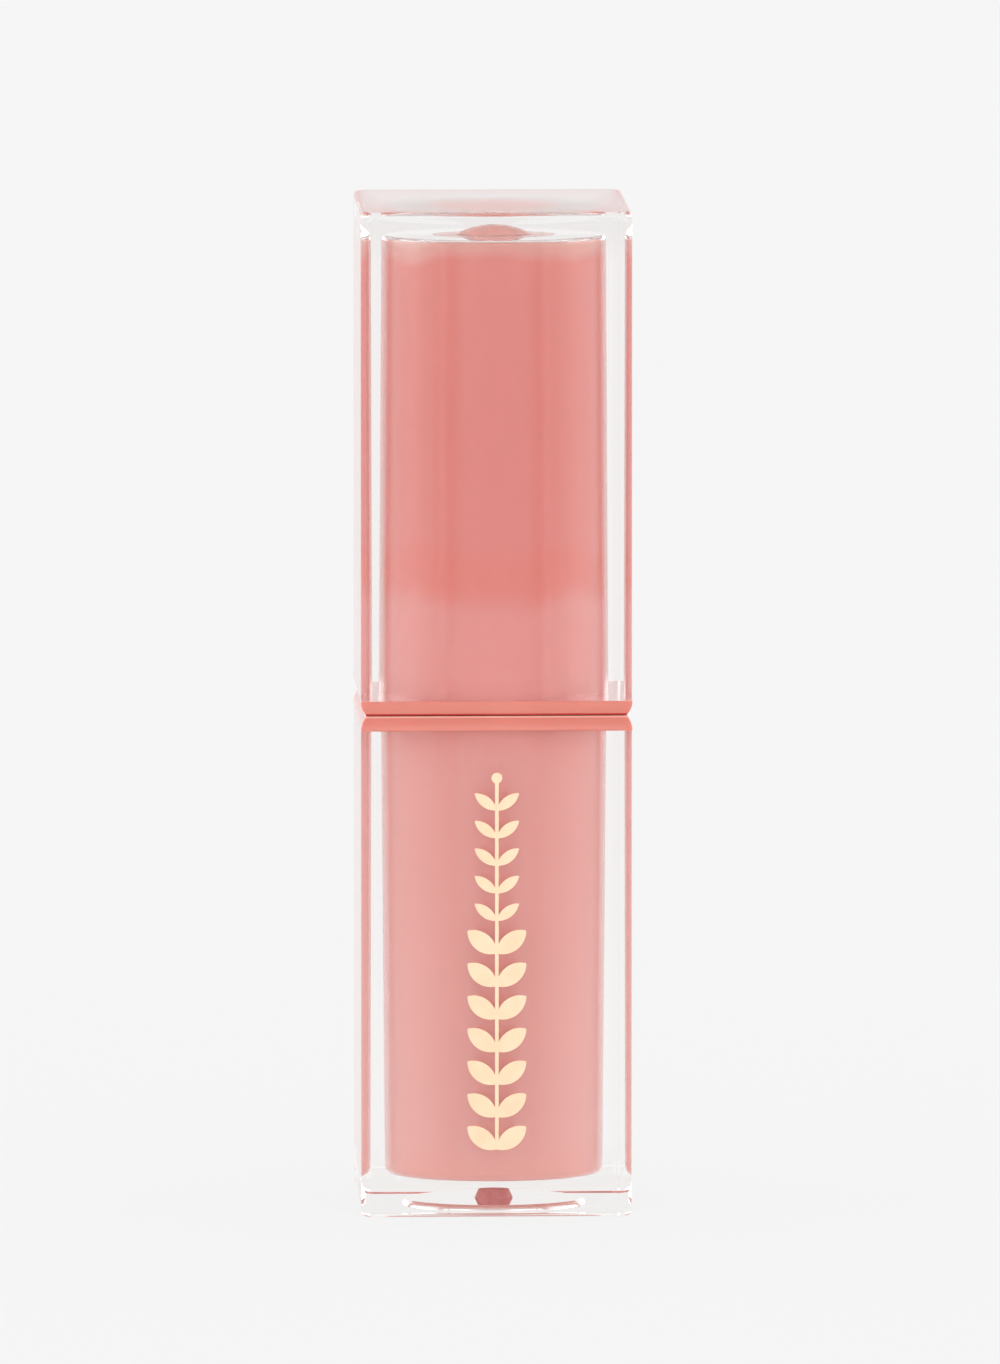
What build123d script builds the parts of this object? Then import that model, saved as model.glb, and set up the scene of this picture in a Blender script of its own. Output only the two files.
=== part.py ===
from build123d import *
from math import pi, radians, tan
import os

# Twist-up gloss stick in a square, thick-walled clear case with a pull-off cap.
# +Z is up, the origin is the middle of the underside, and the front face looks along -Y.
# Turning the neck anticlockwise, seen from above, raises the stick out of the base.

# Round parts, from the stick outwards: each radius follows from the one inside it.
stick_radius = 5.55
cup_bore_clearance = 0.03
cup_wall = 0.44
cup_clearance = 0.10
fork_wall = 0.60
sleeve_clearance = 0.08
groove_depth = 0.40
sleeve_skin = 0.25
neck_wall = 0.35
neck_clearance = 0.10
cap_clearance = 0.20
base_liner_wall = 0.83
cap_liner_wall = 0.90
case_wall = 1.60
press_fit = 0.02

# Heights of the case.
base_height = 39.10
cap_height = 39.10
parting_gap = 0.06
flange_height = 1.13
flange_lean = 0.42
base_end_wall = 2.60
cap_end_wall = 2.30
base_liner_floor = 0.90
cap_liner_ceiling = 0.90

# Edges and drafts of the case.
corner_radius = 1.00
end_edge_radius = 0.40
base_draft = 0.44
cap_draft = 0.34
base_well_edge = 0.60
cap_well_edge = 0.35

# Boss in the cap's closed end, and the recess with its gate mark under the base.
boss_radius = 3.00
boss_height = 0.75
recess_radius = 7.20
recess_depth = 0.60
recess_edge_radius = 0.50
gate_radius = 1.50
gate_end_radius = 1.20
gate_depth = 0.67

# Neck, foot and the stick's travel.
neck_exposed = 9.40
neck_lip = 0.60
neck_edge_radius = 0.25
lip_clearance = 0.20
foot_height = 8.50
foot_clearance = 0.20
foot_rib_count = 24
foot_rib_width = 0.60
foot_bite = 0.03
axial_clearance = 0.15
rim_height = 0.70
rim_overhang = 0.23
ring_height = 0.80
ring_thickness = 0.33
ring_clearance = 0.05
stroke = 24.00
groove_pitch = 16.00

# Cup, its lugs and its ribs.
cup_height = 12.00
cup_floor = 0.80
cup_vent_radius = 1.50
cup_rib_count = 4
cup_rib_width = 0.60
cup_rib_height = 0.25
cup_rib_length = 7.00
lug_count = 2
lug_radius = 0.80
lug_rise = 2.00
lug_clearance = 0.15
groove_clearance = 0.20
lug_end_clearance = 0.10
slot_web = 0.45

# Tip of the stick.
tip_slant = 42.0
tip_proud = 1.60
tip_edge_radius = 1.20

# Collar of the base liner, its keys, and the cap's grip ribs.
collar_height = 2.10
collar_wall = 0.50
collar_clearance = 0.10
key_height = 0.90
key_width = 1.60
key_depth = 0.35
key_clearance = 0.12
grip_rib_count = 6
grip_rib_width = 0.60
grip_rib_height = 5.00
grip_clearance = 0.06

# Foil sprig on the front of the base.
foil_depth = 0.05
sprig_bottom = 5.30
sprig_length = 29.40
stem_width = 0.28
leaf_length = 2.90
leaf_bow = 0.72
leaf_angle = 38.0
leaf_pairs = 7
leaf_pitch = 2.55
bud_length = 2.20
bud_bow = 0.42
bud_pairs = 5
bud_pitch = 2.15
berry_radius = 0.42

# Radii that follow.
cup_bore = stick_radius + cup_bore_clearance
cup_outer = cup_bore + cup_wall
fork_bore = cup_outer + cup_clearance
fork_outer = fork_bore + fork_wall
sleeve_bore = fork_outer + sleeve_clearance
groove_radius = sleeve_bore + groove_depth
sleeve_outer = groove_radius + sleeve_skin
neck_outer = sleeve_outer + neck_wall
base_liner_bore = neck_outer + neck_clearance
base_well_radius = base_liner_bore + base_liner_wall
cap_liner_bore = neck_outer + cap_clearance
cap_well_radius = cap_liner_bore + cap_liner_wall
case_width = 2 * (cap_well_radius + case_wall)
collar_outer = base_liner_bore + collar_wall
lip_bore = cup_outer + lip_clearance
lug_tip = groove_radius - lug_end_clearance
foot_radius = base_liner_bore - foot_clearance
rim_radius = fork_outer + rim_overhang
ring_outer = fork_outer + ring_thickness

# Heights that follow.
case_height = base_height + cap_height
base_flange_top = base_height - parting_gap / 2
base_shell_top = base_flange_top - flange_height
cap_flange_bottom = base_height + parting_gap / 2
cap_shell_bottom = cap_flange_bottom + flange_height
cap_well_end = case_height - cap_end_wall
cap_ceiling = cap_well_end - cap_liner_ceiling
boss_top = cap_well_end + boss_height
foot_bottom = base_end_wall + base_liner_floor
foot_top = foot_bottom + foot_height
neck_bottom = foot_top + axial_clearance
neck_top = base_height + neck_exposed
sleeve_top = neck_top - neck_lip
fork_top = sleeve_top - axial_clearance
rim_bottom = fork_top - rim_height
ring_top = foot_top + ring_height
collar_top = base_flange_top + collar_height
lug_height = ring_top + slot_web + lug_radius + lug_clearance
cup_bottom = lug_height - lug_rise
stick_bottom = cup_bottom + cup_floor
tip_top = neck_top + tip_proud
front_face = Plane.XZ.offset(case_width / 2)


def well_form(mouth_height, end_height, mouth_radius, draft, edge_radius, grown=0.0):
    # Drafted round form from the mouth of a case half to its closed end
    depth = abs(end_height - mouth_height)
    end_radius = mouth_radius - depth * tan(radians(draft))
    end_growth = grown * (end_height - mouth_height) / depth
    with BuildPart() as form:
        with BuildSketch(Plane.XZ):
            with BuildLine():
                Polyline(
                    (0, mouth_height),
                    (mouth_radius + grown, mouth_height),
                    (end_radius + grown, end_height + end_growth),
                    (0, end_height + end_growth),
                    close=True,
                )
            make_face()
        revolve(axis=Axis.Z)
        flat_faces = form.faces().filter_by(GeomType.PLANE)
        end_face = flat_faces.sort_by(lambda face: abs(face.center().Z - end_height))[0]
        fillet(end_face.edges(), edge_radius)
    return form.part


def boss_form():
    # Shallow dome that stands on the closed end of the cap's well
    with BuildPart() as form:
        with BuildSketch(Plane.XZ):
            with BuildLine():
                TangentArc((0, boss_top), (boss_radius, cap_well_end), tangent=(1, 0))
                Line((boss_radius, cap_well_end), (boss_radius, cap_ceiling))
                Line((boss_radius, cap_ceiling), (0, cap_ceiling))
                Line((0, cap_ceiling), (0, boss_top))
            make_face()
        revolve(axis=Axis.Z)
    return form.part


def square_flange(shell_side, parting_side):
    # Square rim between a shell and the parting, leaning in towards the parting
    with BuildPart() as form:
        with BuildSketch(Plane.XY.offset(shell_side)):
            RectangleRounded(case_width, case_width, corner_radius)
        with BuildSketch(Plane.XY.offset(parting_side)):
            RectangleRounded(
                case_width - 2 * flange_lean,
                case_width - 2 * flange_lean,
                corner_radius - flange_lean,
            )
        loft()
    return form.part


def sprig():
    # Upright stem with solid leaves below, veined buds above and a berry at the tip
    with BuildSketch() as leaf:
        with BuildLine():
            SagittaArc((0, 0), (leaf_length, 0), leaf_bow)
            SagittaArc((0, 0), (leaf_length, 0), -leaf_bow)
        make_face()
    with BuildSketch() as bud:
        with BuildLine():
            SagittaArc((0, 0), (bud_length, 0), bud_bow)
            SagittaArc((0, 0), (bud_length, 0), -bud_bow)
        make_face()
    sprig_top = sprig_bottom + sprig_length
    stem_middle = sprig_bottom + (sprig_length - berry_radius) / 2
    with BuildSketch() as outline:
        with Locations((0, stem_middle)):
            Rectangle(stem_width, sprig_length - berry_radius)
        with Locations((0, sprig_top - berry_radius)):
            Circle(berry_radius)
        for pair in range(leaf_pairs):
            with Locations((0, sprig_bottom + pair * leaf_pitch)):
                add(leaf.sketch, rotation=leaf_angle)
                add(leaf.sketch, rotation=180 - leaf_angle)
        for pair in range(bud_pairs):
            with Locations((0, sprig_bottom + leaf_pairs * leaf_pitch + pair * bud_pitch)):
                add(bud.sketch, rotation=leaf_angle)
                add(bud.sketch, rotation=180 - leaf_angle)
    return outline.sketch


os.makedirs("parts", exist_ok=True)

cap_well = (cap_shell_bottom, cap_well_end, cap_well_radius, cap_draft, cap_well_edge)
base_well = (base_shell_top, base_end_wall, base_well_radius, base_draft, base_well_edge)
front_foil = front_face * sprig()

# Cap shell: clear square block with a drafted bore from below and a domed pocket in its end.
with BuildPart() as cap_shell:
    with BuildSketch(Plane.XY.offset(cap_shell_bottom)):
        RectangleRounded(case_width, case_width, corner_radius)
    extrude(amount=case_height - cap_shell_bottom)
    fillet(cap_shell.edges().group_by(Axis.Z)[-1], end_edge_radius)
    add(well_form(*cap_well), mode=Mode.SUBTRACT)
    add(boss_form(), mode=Mode.SUBTRACT)
cap_shell.part.label = "cap_shell"
export_step(cap_shell.part, "parts/cap_shell.step")

# Cap liner: pressed into the cap shell, with the square flange, grip ribs and key notches at its mouth.
with BuildPart() as cap_liner:
    add(well_form(*cap_well, grown=press_fit))
    add(boss_form())
    add(square_flange(cap_shell_bottom, cap_flange_bottom))
    with BuildSketch(Plane.XZ):
        with BuildLine():
            Polyline(
                (0, cap_flange_bottom),
                (collar_outer + collar_clearance, cap_flange_bottom),
                (collar_outer + collar_clearance, collar_top + axial_clearance),
                (cap_liner_bore, collar_top + axial_clearance),
                (cap_liner_bore - (cap_ceiling - collar_top) * tan(radians(cap_draft)), cap_ceiling),
                (0, cap_ceiling),
                close=True,
            )
        make_face()
    revolve(axis=Axis.Z, mode=Mode.SUBTRACT)
    with BuildSketch(Plane.XY.offset(cap_flange_bottom)):
        with PolarLocations(collar_outer, lug_count):
            Rectangle(2 * (key_depth + key_clearance), key_width + 2 * key_clearance)
    extrude(amount=key_height + key_clearance, mode=Mode.SUBTRACT)
    with BuildSketch(Plane.XY.offset(collar_top + axial_clearance)):
        with PolarLocations(0, grip_rib_count):
            with Locations((cap_liner_bore, 0)):
                Rectangle(2 * (cap_clearance - grip_clearance), grip_rib_width)
    extrude(amount=grip_rib_height)
cap_liner.part.label = "cap_liner"
export_step(cap_liner.part, "parts/cap_liner.step")

# Base shell: clear square block with a drafted bore from above, a round recess and a gate mark below,
# and a shallow inlay for the foil on its front face.
with BuildPart() as base_shell:
    with BuildSketch():
        RectangleRounded(case_width, case_width, corner_radius)
    extrude(amount=base_shell_top)
    fillet(base_shell.edges().group_by(Axis.Z)[0], end_edge_radius)
    add(well_form(*base_well), mode=Mode.SUBTRACT)
    with BuildSketch(Plane.XZ) as recess:
        with BuildLine():
            Polyline(
                (0, 0),
                (recess_radius, 0),
                (recess_radius, recess_depth),
                (gate_radius, recess_depth),
                (gate_end_radius, recess_depth + gate_depth),
                (0, recess_depth + gate_depth),
                close=True,
            )
        make_face()
        outer_corners = recess.vertices().group_by(Axis.X)[-1]
        fillet(outer_corners.sort_by(Axis.Y)[-1], recess_edge_radius)
    revolve(axis=Axis.Z, mode=Mode.SUBTRACT)
    extrude(front_foil, amount=-foil_depth, mode=Mode.SUBTRACT)
base_shell.part.label = "base_shell"
export_step(base_shell.part, "parts/base_shell.step")

# Foil: the sprig, flush in its inlay.
with BuildPart() as foil_ornament:
    extrude(front_foil, amount=-foil_depth)
foil_ornament.part.label = "foil_ornament"
export_step(foil_ornament.part, "parts/foil_ornament.step")

# Base liner: pressed into the base shell, with the square flange and the keyed collar round the neck.
with BuildPart() as base_liner:
    add(well_form(*base_well, grown=press_fit))
    add(square_flange(base_shell_top, base_flange_top))
    with BuildSketch(Plane.XY.offset(base_shell_top)):
        Circle(collar_outer)
    extrude(amount=collar_top - base_shell_top)
    with BuildSketch(Plane.XY.offset(base_shell_top)):
        with PolarLocations(collar_outer, lug_count):
            Rectangle(2 * key_depth, key_width)
    extrude(amount=base_flange_top + key_height - base_shell_top)
    with BuildSketch(Plane.XY.offset(foot_bottom)):
        Circle(base_liner_bore)
    extrude(amount=collar_top - foot_bottom, mode=Mode.SUBTRACT)
base_liner.part.label = "base_liner"
export_step(base_liner.part, "parts/base_liner.step")

# Fork tube: hollow ribbed foot pressed into the base liner, two straight slots and a snap rim on top.
with BuildPart() as fork_tube:
    with BuildSketch(Plane.XZ):
        with BuildLine():
            Polyline(
                (fork_bore, foot_top - fork_wall),
                (foot_radius - fork_wall, foot_top - fork_wall),
                (foot_radius - fork_wall, foot_bottom),
                (foot_radius, foot_bottom),
                (foot_radius, foot_top),
                (fork_outer, foot_top),
                (fork_outer, rim_bottom),
                (rim_radius, rim_bottom),
                (rim_radius, fork_top),
                (fork_bore, fork_top),
                close=True,
            )
        make_face()
    revolve(axis=Axis.Z)
    with BuildSketch(Plane.XY.offset(foot_bottom)):
        with PolarLocations(foot_radius, foot_rib_count):
            Rectangle(2 * (foot_clearance + foot_bite), foot_rib_width)
    extrude(amount=foot_height)
    with BuildSketch(Plane.YZ):
        with Locations((0, lug_height + stroke / 2)):
            SlotCenterToCenter(stroke, 2 * (lug_radius + lug_clearance), rotation=90)
    extrude(amount=foot_radius, both=True, mode=Mode.SUBTRACT)
fork_tube.part.label = "fork_tube"
export_step(fork_tube.part, "parts/fork_tube.step")

# One helical groove, left-handed, from below the sleeve to just past the stick's highest place.
groove_lead_in = lug_height - neck_bottom + 2 * lug_radius
groove_run_out = groove_pitch * (lug_radius + groove_clearance) / (2 * pi * sleeve_bore)
with BuildPart() as groove:
    with BuildLine():
        groove_path = Helix(
            groove_pitch,
            groove_lead_in + stroke + groove_run_out,
            sleeve_bore,
            center=(0, 0, lug_height - groove_lead_in),
            lefthand=True,
        )
    with BuildSketch(Plane(origin=groove_path @ 0, x_dir=(1, 0, 0), z_dir=groove_path % 0)):
        Rectangle(2 * groove_depth, 2 * (lug_radius + groove_clearance))
    sweep(is_frenet=True)

# Spiral sleeve: turns round the fork tube, with a groove for each lug and a step over the snap rim.
with BuildPart() as spiral_sleeve:
    with BuildSketch(Plane.XZ):
        with BuildLine():
            Polyline(
                (ring_outer + ring_clearance, neck_bottom),
                (sleeve_outer, neck_bottom),
                (sleeve_outer, sleeve_top),
                (rim_radius + sleeve_clearance, sleeve_top),
                (rim_radius + sleeve_clearance, rim_bottom - axial_clearance),
                (sleeve_bore, rim_bottom - axial_clearance),
                (sleeve_bore, ring_top + axial_clearance),
                (ring_outer + ring_clearance, ring_top + axial_clearance),
                close=True,
            )
        make_face()
    revolve(axis=Axis.Z)
    with PolarLocations(0, lug_count, start_angle=360 * groove_lead_in / groove_pitch):
        add(groove.part, mode=Mode.SUBTRACT)
spiral_sleeve.part.label = "spiral_sleeve"
export_step(spiral_sleeve.part, "parts/spiral_sleeve.step")

# Neck cover: tube over the spiral sleeve, with a lip over its top.
with BuildPart() as neck_cover:
    with BuildSketch(Plane.XZ):
        with BuildLine():
            Polyline(
                (sleeve_outer, neck_bottom),
                (neck_outer, neck_bottom),
                (neck_outer, neck_top),
                (lip_bore, neck_top),
                (lip_bore, sleeve_top),
                (sleeve_outer, sleeve_top),
                close=True,
            )
        make_face()
    revolve(axis=Axis.Z)
    fillet(neck_cover.edges().group_by(Axis.Z)[-1], neck_edge_radius)
neck_cover.part.label = "neck_cover"
export_step(neck_cover.part, "parts/neck_cover.step")

# Drag ring: sits on the foot round the fork tube and rubs in the bottom of the spiral sleeve.
with BuildPart() as drag_ring:
    with BuildSketch(Plane.XY.offset(foot_top)):
        Circle(ring_outer)
        Circle(fork_outer, mode=Mode.SUBTRACT)
    extrude(amount=ring_height)
drag_ring.part.label = "drag_ring"
export_step(drag_ring.part, "parts/drag_ring.step")

# Cup: carries the stick, with ribs that bite into it and a lug for each slot.
with BuildPart() as cup:
    with BuildSketch(Plane.XY.offset(cup_bottom)):
        Circle(cup_outer)
        Circle(cup_vent_radius, mode=Mode.SUBTRACT)
    extrude(amount=cup_height)
    with BuildSketch(Plane.XY.offset(stick_bottom)):
        Circle(cup_bore)
    extrude(amount=cup_height - cup_floor, mode=Mode.SUBTRACT)
    with BuildSketch(Plane.XY.offset(stick_bottom)):
        with PolarLocations(cup_bore, cup_rib_count, start_angle=180 / cup_rib_count):
            Rectangle(2 * cup_rib_height, cup_rib_width)
    extrude(amount=cup_rib_length)
    with PolarLocations(0, lug_count):
        with Locations((cup_outer - cup_wall / 2, 0, lug_height)):
            Cylinder(
                lug_radius,
                lug_tip - cup_outer + cup_wall / 2,
                rotation=(0, 90, 0),
                align=(Align.CENTER, Align.CENTER, Align.MIN),
            )
cup.part.label = "cup"
export_step(cup.part, "parts/cup.step")

# Gloss bullet: round stick with a slanted tip whose low side faces the front.
with BuildPart() as gloss_bullet:
    with BuildSketch(Plane.XY.offset(stick_bottom)):
        Circle(stick_radius)
    extrude(amount=tip_top - stick_bottom)
    slant_normal = Vector(0, 0, 1).rotate(Axis.X, tip_slant)
    split(bisect_by=Plane(origin=(0, stick_radius, tip_top), z_dir=slant_normal), keep=Keep.BOTTOM)
    slanted_face = gloss_bullet.faces().sort_by(Axis.Z)[-1]
    fillet(slanted_face.edges(), tip_edge_radius)
gloss_bullet.part.label = "gloss_bullet"
export_step(gloss_bullet.part, "parts/gloss_bullet.step")
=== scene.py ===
import bpy
import math
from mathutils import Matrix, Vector


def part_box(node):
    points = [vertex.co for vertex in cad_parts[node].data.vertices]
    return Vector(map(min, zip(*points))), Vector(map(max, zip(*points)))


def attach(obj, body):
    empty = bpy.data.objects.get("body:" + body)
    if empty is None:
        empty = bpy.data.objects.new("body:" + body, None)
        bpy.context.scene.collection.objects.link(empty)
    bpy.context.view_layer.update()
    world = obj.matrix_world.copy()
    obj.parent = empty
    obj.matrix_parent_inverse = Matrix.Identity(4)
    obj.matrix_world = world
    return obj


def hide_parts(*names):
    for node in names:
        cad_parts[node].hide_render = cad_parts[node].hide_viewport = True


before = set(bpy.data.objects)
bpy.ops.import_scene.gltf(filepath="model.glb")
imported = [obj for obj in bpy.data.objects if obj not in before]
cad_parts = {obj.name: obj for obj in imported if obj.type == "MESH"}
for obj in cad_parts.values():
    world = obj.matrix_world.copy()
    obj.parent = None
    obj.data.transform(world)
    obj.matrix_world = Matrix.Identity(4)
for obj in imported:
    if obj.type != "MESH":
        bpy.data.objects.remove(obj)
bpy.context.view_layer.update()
mm = 0.001
touch = 0.01 * mm  # faces nearer than this to a height lie at it
flat = 0.999  # a normal this long along an axis is square to it
past = mm  # how far a cutting tool runs past the surface it cuts
plasticIor = 1.49


def selectNone():
    if bpy.context.object and bpy.context.object.mode != "OBJECT":
        bpy.ops.object.mode_set(mode="OBJECT")
    bpy.ops.object.select_all(action="DESELECT")


def selectOnly(piece):
    selectNone()
    piece.select_set(True)
    bpy.context.view_layer.objects.active = piece


def pickEdges(piece, isWanted):  # marks edges by the places of their two ends, and stays in edit mode
    bpy.ops.mesh.select_mode(type="EDGE")
    bpy.ops.mesh.select_all(action="DESELECT")
    bpy.ops.object.mode_set(mode="OBJECT")
    vertices = piece.data.vertices
    for edge in piece.data.edges:
        ends = [vertices[index].co for index in edge.vertices]
        edge.select = isWanted(ends[0], ends[1])
    bpy.ops.object.mode_set(mode="EDIT")


def pickFaces(piece, isWanted):  # marks faces by centre and normal, and stays in edit mode
    bpy.ops.mesh.select_mode(type="FACE")
    bpy.ops.mesh.select_all(action="DESELECT")
    bpy.ops.object.mode_set(mode="OBJECT")
    for face in piece.data.polygons:
        face.select = isWanted(face.center, face.normal)
    bpy.ops.object.mode_set(mode="EDIT")


def closeUp(piece):  # merges doubles, fills open ends and points every face outwards
    selectOnly(piece)
    bpy.ops.object.mode_set(mode="EDIT")
    bpy.ops.mesh.select_all(action="SELECT")
    bpy.ops.mesh.remove_doubles(threshold=0.0005 * mm)
    bpy.ops.mesh.fill_holes(sides=0)
    bpy.ops.mesh.select_all(action="SELECT")
    bpy.ops.mesh.normals_make_consistent(inside=False)
    bpy.ops.object.mode_set(mode="OBJECT")


def turned(name, outline, sides=192):  # a ring pulled along (radius, height) steps, as on a lathe
    selectNone()
    radius, height = outline[0]
    bpy.ops.mesh.primitive_circle_add(vertices=sides, radius=radius, location=(0, 0, height))
    piece = bpy.context.object
    piece.name = name
    bpy.ops.object.transform_apply(location=True, rotation=True, scale=True)
    bpy.ops.object.mode_set(mode="EDIT")
    bpy.ops.mesh.select_all(action="SELECT")
    for nextRadius, nextHeight in outline[1:]:
        bpy.ops.mesh.extrude_edges_move(TRANSFORM_OT_translate={"value": (0, 0, nextHeight - height)})
        factor = nextRadius / radius
        bpy.ops.transform.resize(value=(factor, factor, 1), center_override=(0, 0, 0))
        radius, height = nextRadius, nextHeight
    bpy.ops.object.mode_set(mode="OBJECT")
    closeUp(piece)
    return piece


def corner(middleRadius, middleHeight, radius, startAngle, endAngle, steps=8):  # round stretch of an outline
    points = []
    for step in range(steps + 1):
        angle = math.radians(startAngle + (endAngle - startAngle) * step / steps)
        points.append((middleRadius + radius * math.cos(angle), middleHeight + radius * math.sin(angle)))
    return points


def squareBlock(name, halfWidth, low, high, cornerRadius, cornerSteps):
    selectNone()
    size = (2 * halfWidth, 2 * halfWidth, high - low)
    bpy.ops.mesh.primitive_cube_add(size=1, location=(0, 0, (low + high) / 2), scale=size)
    piece = bpy.context.object
    piece.name = name
    bpy.ops.object.transform_apply(location=True, rotation=True, scale=True)
    bpy.ops.object.mode_set(mode="EDIT")
    pickEdges(piece, lambda a, b: abs(a.z - b.z) > mm)
    bpy.ops.mesh.bevel(offset=cornerRadius, segments=cornerSteps, profile=0.5, affect="EDGES")
    bpy.ops.object.mode_set(mode="OBJECT")
    return piece


def roundEndEdge(piece, height, radius, steps):  # rounds every edge that lies at one height
    selectOnly(piece)
    bpy.ops.object.mode_set(mode="EDIT")
    pickEdges(piece, lambda a, b: abs(a.z - height) < touch and abs(b.z - height) < touch)
    bpy.ops.mesh.bevel(offset=radius, segments=steps, profile=0.5, affect="EDGES")
    bpy.ops.object.mode_set(mode="OBJECT")


def combine(piece, tool, operation):
    change = piece.modifiers.new(operation.lower(), "BOOLEAN")
    change.operation = operation
    change.solver = "EXACT"
    change.object = tool
    selectOnly(piece)
    bpy.ops.object.modifier_apply(modifier=change.name)
    bpy.data.objects.remove(tool)


def smooth(piece, angle):  # smooth by angle, with normals that leave the flat faces flat
    selectOnly(piece)
    bpy.ops.object.shade_smooth_by_angle(angle=math.radians(angle))
    weighted = piece.modifiers.new("weighted", "WEIGHTED_NORMAL")
    weighted.keep_sharp = True
    weighted.weight = 100
    bpy.ops.object.modifier_apply(modifier=weighted.name)


def giveFacesMaterial(piece, wall, isWall):  # faces that pass the test take one more material: the painted bands of the bonded wall, the lighter end, or a painted rim strip
    piece.data.materials.append(wall)
    for face in piece.data.polygons:
        if isWall(face.center, face.normal):
            face.material_index = len(piece.data.materials) - 1


def finishPiece(piece, material, body, slot, *nodes):
    piece.data.materials.clear()
    piece.data.materials.append(material)
    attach(piece, body)
    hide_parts(*nodes)


def newMaterial(name):
    material = bpy.data.materials.new(name)
    material.use_nodes = True
    nodes = material.node_tree.nodes
    links = material.node_tree.links
    return material, nodes, links, nodes["Principled BSDF"]


def objectNoise(nodes, links, scale, detail):  # noise that sits in the piece's own space
    place = nodes.new("ShaderNodeTexCoord")
    noise = nodes.new("ShaderNodeTexNoise")
    noise.inputs["Scale"].default_value = scale
    noise.inputs["Detail"].default_value = detail
    links.new(place.outputs["Object"], noise.inputs["Vector"])
    return noise


def addBump(nodes, links, shader, noise, strength, distance):
    bump = nodes.new("ShaderNodeBump")
    bump.inputs["Strength"].default_value = strength
    bump.inputs["Distance"].default_value = distance
    links.new(noise.outputs["Fac"], bump.inputs["Height"])
    links.new(bump.outputs["Normal"], shader.inputs["Normal"])


def blendColours(nodes, links, shader, noise, low, high):
    ramp = nodes.new("ShaderNodeValToRGB")
    ramp.color_ramp.elements[0].position = 0.35
    ramp.color_ramp.elements[0].color = (*low, 1)
    ramp.color_ramp.elements[1].position = 0.65
    ramp.color_ramp.elements[1].color = (*high, 1)
    links.new(noise.outputs["Fac"], ramp.inputs["Fac"])
    links.new(ramp.outputs["Color"], shader.inputs["Base Color"])


def mapRange(nodes, links, source, fromLow, fromHigh, toLow, toHigh):
    ramp = nodes.new("ShaderNodeMapRange")
    ramp.interpolation_type = "SMOOTHSTEP"
    ramp.inputs["From Min"].default_value = fromLow
    ramp.inputs["From Max"].default_value = fromHigh
    ramp.inputs["To Min"].default_value = toLow
    ramp.inputs["To Max"].default_value = toHigh
    links.new(source, ramp.inputs["Value"])
    return ramp.outputs["Result"]


def heightRamp(nodes, links, source, levels, shift):  # colour by height, in millimetres up the object
    low = levels[0][0]
    high = levels[-1][0]
    height = nodes.new("ShaderNodeMapRange")
    height.inputs["From Min"].default_value = low * mm + shift
    height.inputs["From Max"].default_value = high * mm + shift
    links.new(source, height.inputs["Value"])
    ramp = nodes.new("ShaderNodeValToRGB")
    ramp.color_ramp.interpolation = "EASE"
    for index, (level, colour) in enumerate(levels):
        if 0 < index < len(levels) - 1:
            stop = ramp.color_ramp.elements.new((level - low) / (high - low))
        else:
            stop = ramp.color_ramp.elements[0 if index == 0 else -1]
        stop.color = (*colour, 1)
    links.new(height.outputs["Result"], ramp.inputs["Fac"])
    return ramp.outputs["Color"]


def splitPlace(nodes, links):
    place = nodes.new("ShaderNodeTexCoord")
    split = nodes.new("ShaderNodeSeparateXYZ")
    links.new(place.outputs["Object"], split.inputs["Vector"])
    return split


clearTint = (  # colour by height in millimetres, strongest in the two thick ends
    (0.0, (0.958, 0.940, 0.925)),
    (2.6, (0.958, 0.940, 0.925)),
    (4.5, (0.992, 0.982, 0.978)),
    (38.0, (0.972, 0.958, 0.950)),
    (74.0, (0.970, 0.956, 0.948)),
    (75.8, (0.915, 0.900, 0.890)),
    (78.2, (0.915, 0.900, 0.890)),
)


def clearPlastic():
    material, nodes, links, shader = newMaterial("clearCase")
    split = splitPlace(nodes, links)
    tint = heightRamp(nodes, links, split.outputs["Z"], clearTint, 0)
    links.new(tint, shader.inputs["Base Color"])
    shader.inputs["Transmission Weight"].default_value = 1.0
    shader.inputs["Roughness"].default_value = 0.0
    shader.inputs["IOR"].default_value = plasticIor
    return material


def handledPlastic():  # clear plastic of the end face, dulled a little by handling
    material, *_, shader = newMaterial("handledEnd")
    shader.inputs["Base Color"].default_value = (*clearTint[-1][1], 1)
    shader.inputs["Transmission Weight"].default_value = 0.8
    shader.inputs["Roughness"].default_value = 0.5
    shader.inputs["IOR"].default_value = plasticIor
    return material


def pinkPlastic(name, low, high, roughness):  # translucent dyed plastic of the liners, also carrying the painted highlight and painted gap shade of the rim strips
    material, nodes, links, shader = newMaterial(name)
    noise = objectNoise(nodes, links, 260, 3)
    blendColours(nodes, links, shader, noise, low, high)
    shader.inputs["Roughness"].default_value = roughness
    shader.inputs["IOR"].default_value = plasticIor
    shader.inputs["Specular IOR Level"].default_value = 0.4
    shader.inputs["Subsurface Weight"].default_value = 1.0
    shader.inputs["Subsurface Radius"].default_value = (1.0, 0.42, 0.36)
    shader.inputs["Subsurface Scale"].default_value = 0.3 * mm
    return material


# gloss of the liner walls, and where their painted light and shade falls
linerFinishAndShade = {
    "noiseScale": 110,
    "middleStart": 0.92,  # shares of the mouth radius between which a face turns to its painted darker middle
    "middleFull": 0.99,
    "archLow": 60 * mm,  # between these heights the painted bands turn from hanging to arching
    "archHigh": 70 * mm,
    "archShare": 0.4,
    "roughness": 0.22,
    "coatRoughness": 0.27,
}


# painted shade: multiplies the colour towards a darker one as the distance nears the mouth radius
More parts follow.
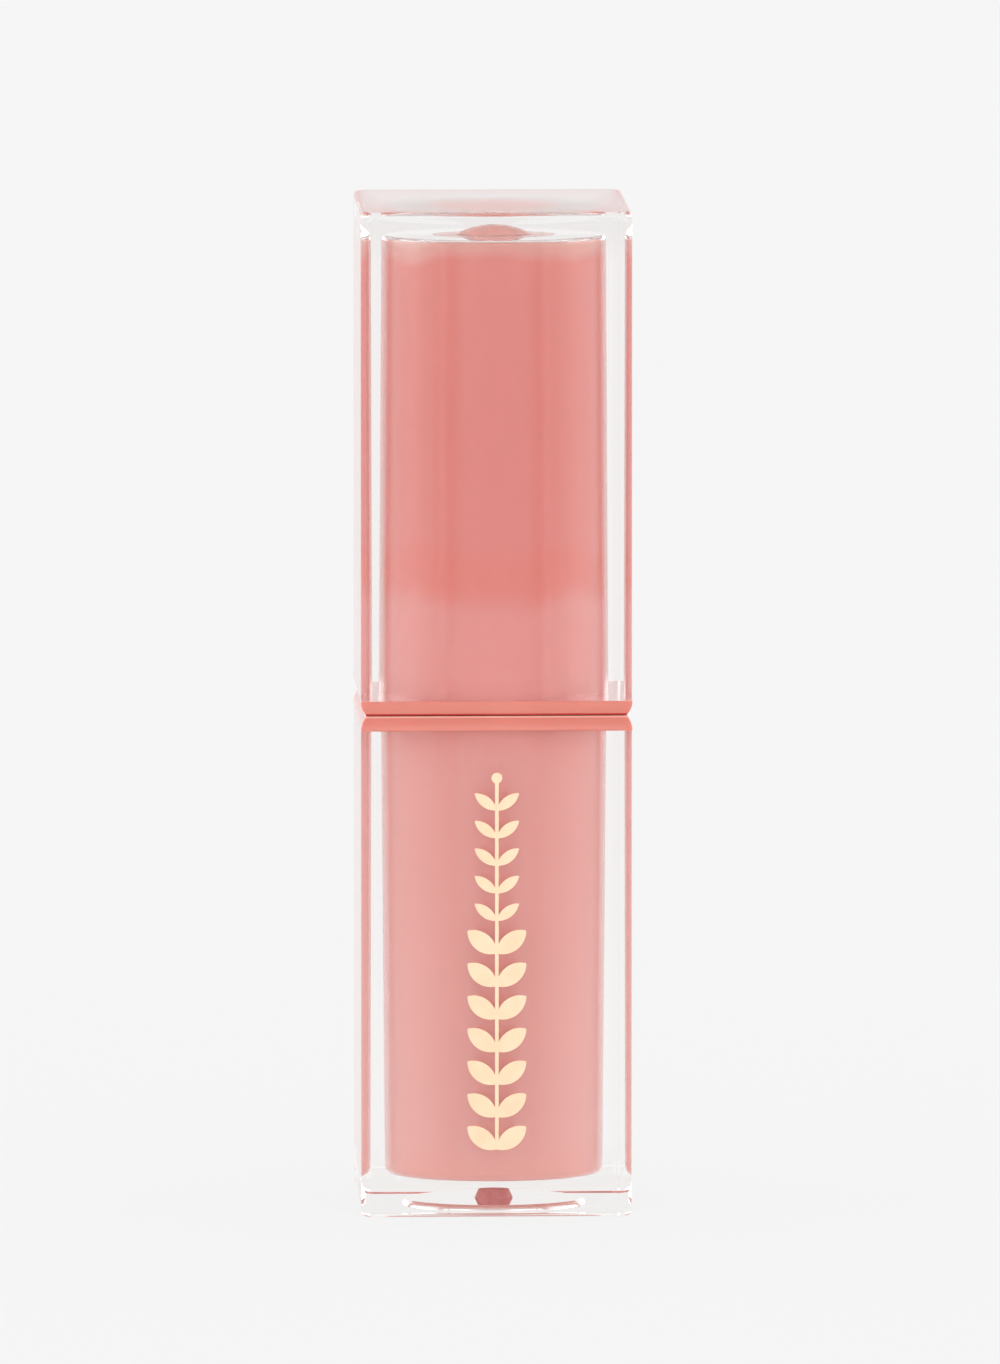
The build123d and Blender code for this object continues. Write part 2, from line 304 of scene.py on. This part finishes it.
def paintMiddleShade(nodes, links, colour, distance, shadeColour):
    finishAndShade = linerFinishAndShade
    radius = capShape["mouthRadius"]
    share = mapRange(nodes, links, distance, finishAndShade["middleStart"] * radius,
                     finishAndShade["middleFull"] * radius, 0, 1)
    deepen = nodes.new("ShaderNodeMix")
    deepen.data_type = "RGBA"
    deepen.blend_type = "MULTIPLY"
    links.new(share, deepen.inputs["Factor"])
    links.new(colour, deepen.inputs["A"])
    deepen.inputs["B"].default_value = (*shadeColour, 1)
    return deepen.outputs["Result"]


def coatPlastic(shader, coatIor):  # soft gloss under the clear plastic
    shader.inputs["Roughness"].default_value = linerFinishAndShade["roughness"]
    shader.inputs["Coat Weight"].default_value = 1.0
    shader.inputs["Coat IOR"].default_value = coatIor
    shader.inputs["Coat Roughness"].default_value = linerFinishAndShade["coatRoughness"]
    shader.inputs["IOR"].default_value = plasticIor


def linerWall(name, look):  # plastic bonded to the clear case, its colour painted with soft bands of light and shade by height
    material, nodes, links, shader = newMaterial(name)
    finishAndShade = linerFinishAndShade
    split = splitPlace(nodes, links)
    noise = objectNoise(nodes, links, finishAndShade["noiseScale"], 2)
    drift = nodes.new("ShaderNodeMath")
    drift.operation = "MULTIPLY_ADD"
    drift.inputs[1].default_value = look["waviness"]
    links.new(noise.outputs["Fac"], drift.inputs[0])
    links.new(split.outputs["Z"], drift.inputs[2])
    nearest = nodes.new("ShaderNodeMath")  # largest in the middle of each face
    nearest.operation = "MAXIMUM"
    reach = []
    for index, axis in enumerate("XY"):
        side = nodes.new("ShaderNodeMath")
        side.operation = "ABSOLUTE"
        links.new(split.outputs[axis], side.inputs[0])
        links.new(side.outputs["Value"], nearest.inputs[index])
        reach.append(side.outputs["Value"])
    hang = mapRange(nodes, links, split.outputs["Z"], finishAndShade["archLow"], finishAndShade["archHigh"],
                    look["hang"], -finishAndShade["archShare"] * look["hang"])
    dip = nodes.new("ShaderNodeMath")  # the painted bands hang in the middle of each face, and arch near the closed end
    dip.operation = "MULTIPLY_ADD"
    links.new(nearest.outputs["Value"], dip.inputs[0])
    links.new(hang, dip.inputs[1])
    links.new(drift.outputs["Value"], dip.inputs[2])
    shift = look["waviness"] / 2 + look["hang"] * capShape["mouthRadius"]
    colour = heightRamp(nodes, links, dip.outputs["Value"], look["levels"], shift)
    colour = paintMiddleShade(nodes, links, colour, nearest.outputs["Value"], look["middle"])
    colour = paintMiddleShade(nodes, links, colour, reach[0], look["flank"])
    links.new(colour, shader.inputs["Base Color"])
    coatPlastic(shader, look["coatIor"])
    return material


def litEndPlastic():  # the closed end of the cap's liner, in a lighter pink than the wall: painted light on the upward-facing end
    material, *_, shader = newMaterial("litEndWall")
    shader.inputs["Base Color"].default_value = (0.985, 0.465, 0.405, 1)
    coatPlastic(shader, 1.3)
    return material


def neckPlastic():
    material, nodes, links, shader = newMaterial("neckPlastic")
    noise = objectNoise(nodes, links, 300, 2)
    blendColours(nodes, links, shader, noise, (0.84, 0.42, 0.37), (0.86, 0.44, 0.39))
    shader.inputs["Roughness"].default_value = 0.22
    return material


def waxyGloss():
    material, nodes, links, shader = newMaterial("waxyGloss")
    noise = objectNoise(nodes, links, 180, 4)
    blendColours(nodes, links, shader, noise, (0.66, 0.14, 0.12), (0.70, 0.16, 0.135))
    shader.inputs["Roughness"].default_value = 0.28
    shader.inputs["Subsurface Weight"].default_value = 0.6
    shader.inputs["Subsurface Radius"].default_value = (1.0, 0.35, 0.3)
    shader.inputs["Subsurface Scale"].default_value = 0.8 * mm
    addBump(nodes, links, shader, noise, 0.15, 0.05 * mm)
    return material


def goldFoil():
    material, nodes, links, shader = newMaterial("goldFoil")
    noise = objectNoise(nodes, links, 900, 3)
    blendColours(nodes, links, shader, noise, (0.86, 0.63, 0.43), (0.89, 0.67, 0.47))
    shader.inputs["Metallic"].default_value = 1.0
    shader.inputs["Roughness"].default_value = 0.34
    addBump(nodes, links, shader, noise, 0.1, 0.01 * mm)
    return material


def mouldedPlastic():
    material, nodes, links, shader = newMaterial("mouldedPlastic")
    noise = objectNoise(nodes, links, 700, 4)
    blendColours(nodes, links, shader, noise, (0.80, 0.77, 0.73), (0.86, 0.83, 0.79))
    shader.inputs["Roughness"].default_value = 0.45
    addBump(nodes, links, shader, noise, 0.2, 0.02 * mm)
    return material


def softSilicone():
    material, nodes, links, shader = newMaterial("softSilicone")
    noise = objectNoise(nodes, links, 500, 2)
    blendColours(nodes, links, shader, noise, (0.74, 0.72, 0.69), (0.80, 0.78, 0.75))
    shader.inputs["Roughness"].default_value = 0.6
    return material


def gateMark():  # rough pink-tinted faces of the small dimple in the recess roof
    material, nodes, links, shader = newMaterial("gateMark")
    noise = objectNoise(nodes, links, 1500, 4)
    blendColours(nodes, links, shader, noise, (0.70, 0.29, 0.29), (0.82, 0.37, 0.37))
    shader.inputs["Roughness"].default_value = 0.5
    addBump(nodes, links, shader, noise, 0.4, 0.05 * mm)
    return material


clearCase = clearPlastic()
handledEnd = handledPlastic()
capRim = pinkPlastic("capRim", (0.71, 0.256, 0.204), (0.73, 0.268, 0.213), 0.06)
# painted shade: the base rim's pink is set darker than the cap rim's, to offset the stronger light the base
# rim catches
baseRim = pinkPlastic("baseRim", (0.68, 0.228, 0.180), (0.70, 0.238, 0.188), 0.06)
# painted highlight: lighter pink for the base rim's edge beside the parting
paintedRimHighlight = pinkPlastic("paintedRimHighlight", (0.97, 0.42, 0.34), (0.98, 0.44, 0.36), 0.06)
paintedGapShade = pinkPlastic("paintedGapShade", (0.52, 0.045, 0.035), (0.56, 0.055, 0.042), 0.3)  # painted shade: dark pink where the two rims meet
moulded = mouldedPlastic()

caseShape = {
    "halfWidth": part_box("cap_shell")[1].x,
    "cornerRadius": 1.0 * mm,
    "cornerSteps": 20,
    "endEdgeRadius": 0.4 * mm,
    "endEdgeSteps": 10,
    "sink": 0.02 * mm,  # how far each liner stands into the clear plastic round it
}

capShape = {
    "low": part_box("cap_shell")[0].z,
    "high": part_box("cap_shell")[1].z,
    "wellEnd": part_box("cap_shell")[1].z - 2.3 * mm,
    "mouthRadius": 8.9 * mm,
    "draft": 0.34,
    "wellEdge": 0.35 * mm,
    "bossRadius": 3.0 * mm,
    "bossHeight": 0.75 * mm,
    "bossSteps": 12,
    "poleAngle": 89.6,  # where the boss stops, just short of its middle
    "endGap": 0.04 * mm,  # thin air gap over the liner's closed end
}

baseShape = {
    "low": 0.0,
    "high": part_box("base_shell")[1].z,
    "wellEnd": 2.6 * mm,
    "mouthRadius": 8.73 * mm,
    "draft": 0.44,
    "wellEdge": 0.6 * mm,
    "recessRadius": 7.2 * mm,
    "recessDepth": 0.6 * mm,
    "recessEdge": 0.5 * mm,
    "gateRadius": 1.5 * mm,
    "gateEndRadius": 1.2 * mm,
    "gateDepth": 0.67 * mm,
    "edgeSteps": 12,
}


capWallLook = {
    "levels": (  # colour by height in millimetres, before the bands hang or arch: painted light and shade
        (40.2, (0.985, 0.405, 0.367)),
        (41.6, (0.985, 0.381, 0.343)),
        (43.0, (0.985, 0.362, 0.328)),
        (46.2, (0.985, 0.352, 0.318)),  # painted light below the end of the neck, where the neck shows through the wall
        (48.9, (0.955, 0.241, 0.193)),  # painted shadow round the end of the neck
        (50.2, (0.955, 0.236, 0.188)),
        (52.5, (0.94, 0.256, 0.217)),
        (60.0, (0.925, 0.246, 0.206)),
        (66.0, (0.915, 0.241, 0.201)),  # painted shade over the hollow above the neck, towards the closed end
        (68.5, (0.92, 0.245, 0.203)),
        # painted light, lighter again near the closed end
        (69.7, (0.96, 0.42, 0.36)),
        (70.5, (0.985, 0.56, 0.49)),
    ),
    "waviness": 2.0 * mm,  # how far the bands wander
    "hang": 0.45,
    "middle": (0.99, 0.86, 0.86),  # painted shade: multiplies the colour in the middle of every face
    "flank": (0.90, 1.0, 0.99),  # and painted shade once more on the left and right faces
    "coatIor": 1.62,
}

baseWallLook = {
    # painted light and shade by height, darkest just under the rim
    "levels": (
        (2.5, (0.995, 0.434, 0.380)),
        (6.0, (0.995, 0.450, 0.408)),
        (14.0, (0.995, 0.444, 0.402)),
        (28.0, (0.995, 0.426, 0.387)),
        (35.5, (0.995, 0.434, 0.395)),
        (37.0, (0.99, 0.414, 0.372)),
        (38.0, (0.985, 0.400, 0.356)),
    ),
    "waviness": 0.4 * mm,
    "hang": 0.0,
    # painted shade in the middle of every face, and on the left and right faces
    "middle": (1.0, 0.95, 0.95),
    "flank": (0.93, 0.86, 0.84),
    "coatIor": 1.4,
}

capWall = linerWall("capWall", capWallLook)
litEndWall = litEndPlastic()
baseWall = linerWall("baseWall", baseWallLook)


def capWell(grown, endGap=0.0):  # outline of the cap's well from its mouth up to the boss
    shape = capShape
    depth = shape["wellEnd"] - shape["low"]
    endRadius = shape["mouthRadius"] - depth * math.tan(math.radians(shape["draft"])) + grown
    edge = shape["wellEdge"]
    end = shape["wellEnd"] - endGap
    dome = (shape["bossRadius"] ** 2 + shape["bossHeight"] ** 2) / (2 * shape["bossHeight"])
    outline = [(shape["mouthRadius"] + grown, shape["low"] - grown)]
    outline += corner(endRadius - edge, end - edge, edge, 0, 90)
    spread = math.degrees(math.asin(shape["bossRadius"] / dome))
    outline += corner(0, shape["wellEnd"] + grown + shape["bossHeight"] - dome, dome,
                      90 - spread, shape["poleAngle"], shape["bossSteps"])
    return outline


def baseWell(grown):  # outline of the base's well from its mouth down to its closed end
    shape = baseShape
    depth = shape["high"] - shape["wellEnd"]
    endRadius = shape["mouthRadius"] - depth * math.tan(math.radians(shape["draft"])) + grown
    edge = shape["wellEdge"]
    end = shape["wellEnd"] - grown
    outline = [(shape["mouthRadius"] + grown, shape["high"] + grown)]
    outline += corner(endRadius - edge, end + edge, edge, 0, -90, shape["edgeSteps"])
    return outline


def makeCapBlock():
    shape = capShape
    block = squareBlock("capBlock", caseShape["halfWidth"], shape["low"] - caseShape["sink"], shape["high"],
                        caseShape["cornerRadius"], caseShape["cornerSteps"])
    roundEndEdge(block, shape["high"], caseShape["endEdgeRadius"], caseShape["endEdgeSteps"])
    outline = capWell(0)
    outline.insert(0, (outline[0][0], shape["low"] - past))
    combine(block, turned("capWellTool", outline), "DIFFERENCE")
    smooth(block, 35)
    finishPiece(block, clearCase, "cap", "clear_plastic", "cap_shell")
    block.data.materials.append(handledEnd)
    for face in block.data.polygons:
        isEnd = face.normal.z > flat and face.center.z > shape["high"] - touch
        face.material_index = 1 if isEnd else 0
    return block


def makeBaseBlock():
    shape = baseShape
    block = squareBlock("baseBlock", caseShape["halfWidth"], shape["low"], shape["high"] + caseShape["sink"],
                        caseShape["cornerRadius"], caseShape["cornerSteps"])
    roundEndEdge(block, shape["low"], caseShape["endEdgeRadius"], caseShape["endEdgeSteps"])
    outline = baseWell(0)
    outline.insert(0, (outline[0][0], shape["high"] + past))
    combine(block, turned("baseWellTool", outline), "DIFFERENCE")
    recess = [(shape["recessRadius"], -past)]
    recess += corner(shape["recessRadius"] - shape["recessEdge"], shape["recessDepth"] - shape["recessEdge"],
                     shape["recessEdge"], 0, 90, shape["edgeSteps"])
    recess += [
        (shape["gateRadius"], shape["recessDepth"]),
        (shape["gateEndRadius"], shape["recessDepth"] + shape["gateDepth"]),
    ]
    combine(block, turned("recessTool", recess), "DIFFERENCE")
    smooth(block, 35)
    finishPiece(block, clearCase, "base", "clear_plastic", "base_shell")
    block.data.materials.append(gateMark())
    for face in block.data.polygons:
        isGate = (face.center.xy.length < shape["gateRadius"]
                  and shape["recessDepth"] < face.center.z < shape["wellEnd"] - touch)
        face.material_index = 1 if isGate else 0
    return block


flangeShape = {
    "lean": 0.42 * mm,
    "curve": 2.2,
    "start": 0.05,  # share of the height that stays straight
    "steps": 8,
}


def makeFlange(name, shellSide, partingSide):  # square rim whose sides curve in towards the parting
    shape = flangeShape
    height = partingSide - shellSide
    straight = shellSide + shape["start"] * height
    flange = squareBlock(name, caseShape["halfWidth"], min(shellSide, straight), max(shellSide, straight),
                         caseShape["cornerRadius"], caseShape["cornerSteps"])
    selectOnly(flange)
    bpy.ops.object.mode_set(mode="EDIT")
    side = math.copysign(1, height)
    pickFaces(flange, lambda centre, normal: normal.z * side > flat)
    width = caseShape["halfWidth"]
    place = shape["start"]
    for step in range(1, shape["steps"] + 1):
        share = shape["start"] + (1 - shape["start"]) * step / shape["steps"]
        newWidth = caseShape["halfWidth"] - shape["lean"] * share ** shape["curve"]
        bpy.ops.mesh.extrude_region_move(TRANSFORM_OT_translate={"value": (0, 0, (share - place) * height)})
        factor = newWidth / width
        bpy.ops.transform.resize(value=(factor, factor, 1), center_override=(0, 0, 0))
        width = newWidth
        place = share
    bpy.ops.object.mode_set(mode="OBJECT")
    return flange


linerShape = {
    "capFlangeBottom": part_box("cap_liner")[0].z,
    "capCeiling": capShape["wellEnd"] - 0.9 * mm,
    "capBore": 8.0 * mm,
    "ceilingEdge": 0.4 * mm,
    "baseFlangeTop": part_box("base_liner")[1].z - 2.1 * mm,
    "collarTop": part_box("base_liner")[1].z,
    "collarRadius": 8.4 * mm,
    "collarGap": 0.1 * mm,
    "collarEdge": 0.15 * mm,
    "collarRoot": 0.5 * mm,
    "baseBore": 7.9 * mm,
    "baseFloor": 3.5 * mm,
    "floorEdge": 0.3 * mm,
    "keyRadius": 8.75 * mm,
    "keyWidth": 1.6 * mm,
    "keyHeight": 0.9 * mm,
    "keyRoot": 0.3 * mm,
    "keyGap": 0.12 * mm,
    "ribCount": 6,
    "ribRadius": 7.86 * mm,
    "ribWidth": 0.6 * mm,
    "ribHeight": 5.0 * mm,
    "ribRoot": 0.2 * mm,
    "ribStart": 0.02 * mm,
    "gap": 0.15 * mm,
    "rimEdge": 0.07 * mm,  # height of the narrow strip beside the parting, painted darker on the cap and lighter on the base
    "wall": 0.3 * mm,  # a face this far outside the bore is on the liner's outer side
}


def boxTool(name, innerX, outerX, width, low, high, turn):  # box that stands out from the axis at an angle
    selectNone()
    size = (outerX - innerX, width, high - low)
    bpy.ops.mesh.primitive_cube_add(size=1, location=((innerX + outerX) / 2, 0, (low + high) / 2), scale=size)
    tool = bpy.context.object
    tool.name = name
    bpy.ops.object.transform_apply(location=True, rotation=True, scale=True)
    tool.rotation_euler = (0, 0, math.radians(turn))
    bpy.ops.object.transform_apply(location=True, rotation=True, scale=True)
    return tool


def makeCapLiner():
    shape = linerShape
    low = capShape["low"]
    rim = shape["capFlangeBottom"]
    liner = turned("capLiner", capWell(caseShape["sink"], capShape["endGap"]))
    combine(liner, makeFlange("capFlangeTool", low, rim), "UNION")
    shrink = math.tan(math.radians(capShape["draft"]))
    stepTop = shape["collarTop"] + shape["gap"]
    ceilingRadius = shape["capBore"] - (shape["capCeiling"] - stepTop) * shrink
    edge = shape["ceilingEdge"]
    bore = [
        (shape["collarRadius"] + shape["collarGap"], rim - past),
        (shape["collarRadius"] + shape["collarGap"], stepTop),
        (shape["capBore"], stepTop),
    ]
    bore += corner(ceilingRadius - edge, shape["capCeiling"] - edge, edge, 0, 90, 6)
    combine(liner, turned("capBoreTool", bore), "DIFFERENCE")
    for turn in (0, 180):  # notches for the keys
        notch = boxTool("notchTool", shape["collarRadius"] - past, shape["keyRadius"] + shape["keyGap"],
                        shape["keyWidth"] + 2 * shape["keyGap"], rim - past,
                        rim + shape["keyHeight"] + shape["keyGap"], turn)
        combine(liner, notch, "DIFFERENCE")
    for rib in range(shape["ribCount"]):  # ribs that grip the neck
        tool = boxTool("ribTool", shape["ribRadius"], shape["capBore"] + shape["ribRoot"], shape["ribWidth"],
                       stepTop + shape["ribStart"], stepTop + shape["ribHeight"],
                       rib * 360 / shape["ribCount"])
        combine(liner, tool, "UNION")
    smooth(liner, 35)
    finishPiece(liner, capRim, "cap", "pink_liner", "cap_liner")
    # the bonded wall and the flange's face against the clear case take the painted bands of light and shade
    giveFacesMaterial(liner, capWall, lambda centre, normal: centre.z > low + 10 * touch
             and centre.xy.dot(normal.xy) > 0 and centre.xy.length > shape["capBore"] + shape["wall"])
    giveFacesMaterial(liner, capWall, lambda centre, normal: normal.z > flat and abs(centre.z - low) < touch)
    # painted light: the upward-facing closed end takes the lighter pink
    giveFacesMaterial(liner, litEndWall, lambda centre, normal: normal.z > 0.5
             and centre.z > capShape["wellEnd"] - shape["wall"])
    # painted shade on the narrow cap rim strip beside the parting
    giveFacesMaterial(liner, paintedGapShade, lambda centre, normal: centre.z < rim + shape["rimEdge"])
    return liner


def makeBaseLiner():
    shape = linerShape
    high = baseShape["high"]
    rim = shape["baseFlangeTop"]
    top = shape["collarTop"]
    liner = turned("baseLiner", baseWell(caseShape["sink"]))
    combine(liner, makeFlange("baseFlangeTool", high, rim), "UNION")
    edge = shape["collarEdge"]
    collar = [(shape["collarRadius"], rim - shape["collarRoot"])]
    collar += corner(shape["collarRadius"] - edge, top - edge, edge, 0, 90, 5)
    combine(liner, turned("collarTool", collar), "UNION")
    for turn in (0, 180):  # keys that stop the cap from turning
        key = boxTool("keyTool", shape["collarRadius"] - shape["keyRoot"], shape["keyRadius"],
                      shape["keyWidth"], rim - shape["keyRoot"], rim + shape["keyHeight"], turn)
        combine(liner, key, "UNION")
    edge = shape["floorEdge"]
    bore = [(shape["baseBore"], top + past)]
    bore += corner(shape["baseBore"] - edge, shape["baseFloor"] + edge, edge, 0, -90, 5)
    combine(liner, turned("baseBoreTool", bore), "DIFFERENCE")
    smooth(liner, 35)
    finishPiece(liner, baseRim, "base", "pink_liner", "base_liner")
    # the bonded wall and the rim's face against the clear case take the painted bands of light and shade
    giveFacesMaterial(liner, baseWall, lambda centre, normal: centre.z < high - 10 * touch
             and (centre.xy.dot(normal.xy) > 0 and centre.xy.length > shape["baseBore"] + shape["wall"]
                  or normal.z < -0.1))
    giveFacesMaterial(liner, baseWall, lambda centre, normal: normal.z < -flat and abs(centre.z - high) < touch)
    # painted highlight on the narrow base rim strip beside the parting
    giveFacesMaterial(liner, paintedRimHighlight, lambda centre, normal: abs(normal.z) < flat
             and rim - shape["rimEdge"] < centre.z < rim)
    return liner


neckShape = {
    "outer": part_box("neck_cover")[1].x,
    "inner": 7.45 * mm,
    "lipBore": 6.22 * mm,
    "lip": 0.6 * mm,
    "edge": 0.25 * mm,
    "low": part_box("neck_cover")[0].z,
    "high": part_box("neck_cover")[1].z,
}


def makeNeckCover():
    shape = neckShape
    edge = shape["edge"]
    outline = [(shape["inner"], shape["low"]), (shape["outer"], shape["low"])]
    outline += corner(shape["outer"] - edge, shape["high"] - edge, edge, 0, 90)
    outline += corner(shape["lipBore"] + edge, shape["high"] - edge, edge, 90, 180)
    outline += [
        (shape["lipBore"], shape["high"] - shape["lip"]),
        (shape["inner"], shape["high"] - shape["lip"]),
        (shape["inner"], shape["low"]),
    ]
    neck = turned("neckSleeve", outline)
    smooth(neck, 35)
    finishPiece(neck, neckPlastic(), "neck", "neck_plastic", "neck_cover")
    return neck


bulletShape = {
    "radius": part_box("gloss_bullet")[1].x,
    "low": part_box("gloss_bullet")[0].z,
    "tip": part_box("neck_cover")[1].z + 1.6 * mm,
    "slant": 42,
    "edge": 1.2 * mm,
}


def makeBullet():
    shape = bulletShape
    selectNone()
    depth = shape["tip"] - shape["low"]
    bpy.ops.mesh.primitive_cylinder_add(vertices=160, radius=shape["radius"], depth=depth,
                                        location=(0, 0, shape["low"] + depth / 2))
    bullet = bpy.context.object
    bullet.name = "glossBullet"
    bpy.ops.object.transform_apply(location=True, rotation=True, scale=True)
    bpy.ops.object.mode_set(mode="EDIT")
    bpy.ops.mesh.select_all(action="SELECT")
    slant = math.radians(shape["slant"])
    bpy.ops.mesh.bisect(plane_co=(0, shape["radius"], shape["tip"]),
                        plane_no=(0, -math.sin(slant), math.cos(slant)), use_fill=True, clear_outer=True)
    pickFaces(bullet, lambda centre, normal: normal.z > 0.3)
    bpy.ops.mesh.bevel(offset=shape["edge"], segments=10, profile=0.5, affect="EDGES")
    bpy.ops.object.mode_set(mode="OBJECT")
    smooth(bullet, 40)
    finishPiece(bullet, waxyGloss(), "stick", "gloss_wax", "gloss_bullet")
    return bullet


foilShape = {
    "proud": 0.015 * mm,
    "sunk": 0.02 * mm,
}


def makeFoil():  # the sprig as a thin skin that stands just proud of the front face
    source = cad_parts["foil_ornament"]
    foil = source.copy()
    foil.data = source.data.copy()
    foil.parent = None
    for key in list(foil.keys()):
        del foil[key]
    foil.name = "foilSprig"
    bpy.context.scene.collection.objects.link(foil)
    closeUp(foil)
    front = -caseShape["halfWidth"]
    for vertex in foil.data.vertices:
        isFront = abs(vertex.co.y - front) < touch
        vertex.co.y = front - foilShape["proud"] if isFront else front + foilShape["sunk"]
    finishPiece(foil, goldFoil(), "base", "gold_foil", "foil_ornament")
    return foil


def dressMechanism():
    for name in ("cup", "fork_tube", "spiral_sleeve"):
        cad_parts[name].data.materials.clear()
        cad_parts[name].data.materials.append(moulded)
    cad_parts["drag_ring"].data.materials.clear()
    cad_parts["drag_ring"].data.materials.append(softSilicone())


floorSettings = {
    "size": 30,
    "colour": (0.08, 0.08, 0.08, 1),
    "glow": 0.83,
}


def makeFloor():
    selectNone()
    bpy.ops.mesh.primitive_plane_add(size=floorSettings["size"], location=(0, 0, 0))
    floor = bpy.context.object
    floor.name = "floor"
    material, *_, shader = newMaterial("paleFloor")
    shader.inputs["Base Color"].default_value = floorSettings["colour"]
    shader.inputs["Roughness"].default_value = 0.9
    shader.inputs["Specular IOR Level"].default_value = 0.0
    shader.inputs["Emission Color"].default_value = (1, 1, 1, 1)
    shader.inputs["Emission Strength"].default_value = floorSettings["glow"]
    floor.data.materials.append(material)


studio = {  # strengths, and the directions between which each light fades in
    "front": 2.4,
    "frontStart": -0.4,
    "frontFull": -0.75,
    "frontTop": 0.56,
    "frontFade": 0.4,
    "between": 0.95,
    "back": 0.93,
    "backStart": -0.2,
    "backFull": 0.1,
    "side": 2.65,
    "sideStart": 0.15,
    "sideFull": 0.45,
    "sideFront": -0.35,
    "sideBack": -0.1,
    "sideTop": 0.55,
    "sideFade": 0.3,
}


def combineLights(nodes, links, operation, *sources):
    step = nodes.new("ShaderNodeMath")
    step.operation = operation
    for index, source in enumerate(sources):
        links.new(source, step.inputs[index])
    return step.outputs["Value"]


def lightStudio():  # soft surroundings with a light in front and one at each side
    world = bpy.data.worlds.new("studio")
    world.use_nodes = True
    bpy.context.scene.world = world
    nodes = world.node_tree.nodes
    links = world.node_tree.links
    place = nodes.new("ShaderNodeTexCoord")
    split = nodes.new("ShaderNodeSeparateXYZ")
    links.new(place.outputs["Generated"], split.inputs["Vector"])
    depth = split.outputs["Y"]
    height = split.outputs["Z"]
    sideways = combineLights(nodes, links, "ABSOLUTE", split.outputs["X"])
    behind = mapRange(nodes, links, depth, studio["backStart"], studio["backFull"],
                      studio["between"], studio["back"])
    side = mapRange(nodes, links, sideways, studio["sideStart"], studio["sideFull"],
                    0, studio["side"] - studio["back"])
    sideMask = mapRange(nodes, links, depth, studio["sideFront"], studio["sideBack"], 0, 1)
    sideEnd = studio["sideTop"] - studio["sideFade"]
    sideHeight = mapRange(nodes, links, height, studio["sideTop"], sideEnd, 0, 1)
    lowSide = combineLights(nodes, links, "MULTIPLY", side, sideHeight)
    surround = combineLights(nodes, links, "MULTIPLY_ADD", lowSide, sideMask, behind)
    front = mapRange(nodes, links, depth, studio["frontStart"], studio["frontFull"],
                     0, studio["front"] - studio["between"])
    frontEnd = studio["frontTop"] - studio["frontFade"]
    frontHeight = mapRange(nodes, links, height, studio["frontTop"], frontEnd, 0, 1)
    strength = combineLights(nodes, links, "MULTIPLY_ADD", front, frontHeight, surround)
    background = nodes["Background"]
    background.inputs["Color"].default_value = (1, 1, 1, 1)
    links.new(strength, background.inputs["Strength"])


cameraSettings = {
    "azimuth": -2.05,
    "elevation": 6.3,
    "distance": 1600 * mm,
    "lens": 542.4,
    "aim": (0.62 * mm, 0, 40.6 * mm),
    "sensorHeight": 36,
    "clipStart": 0.01,
    "clipEnd": 60,
}


def placeCamera():
    settings = cameraSettings
    data = bpy.data.cameras.new("camera")
    camera = bpy.data.objects.new("camera", data)
    bpy.context.scene.collection.objects.link(camera)
    data.sensor_fit = "VERTICAL"
    data.sensor_height = settings["sensorHeight"]
    data.lens = settings["lens"]
    data.clip_start = settings["clipStart"]
    data.clip_end = settings["clipEnd"]
    azimuth = math.radians(settings["azimuth"])
    elevation = math.radians(settings["elevation"])
    aim = Vector(settings["aim"])
    away = Vector((math.sin(azimuth) * math.cos(elevation), -math.cos(azimuth) * math.cos(elevation),
                   math.sin(elevation)))
    camera.location = aim + away * settings["distance"]
    camera.rotation_euler = (-away).to_track_quat("-Z", "Y").to_euler()
    bpy.context.scene.camera = camera


makeCapBlock()
makeBaseBlock()
print("clear blocks made")
makeCapLiner()
makeBaseLiner()
print("liners made")
makeNeckCover()
makeBullet()
makeFoil()
dressMechanism()
print("neck, stick and foil made")
makeFloor()
lightStudio()
placeCamera()
bpy.context.scene.view_settings.view_transform = "Standard"
lightPaths = bpy.context.scene.cycles  # light turns many times inside the clear plastic
lightPaths.max_bounces = 24
lightPaths.diffuse_bounces = 12
lightPaths.glossy_bounces = 12
lightPaths.transmission_bounces = 24
print("studio made")
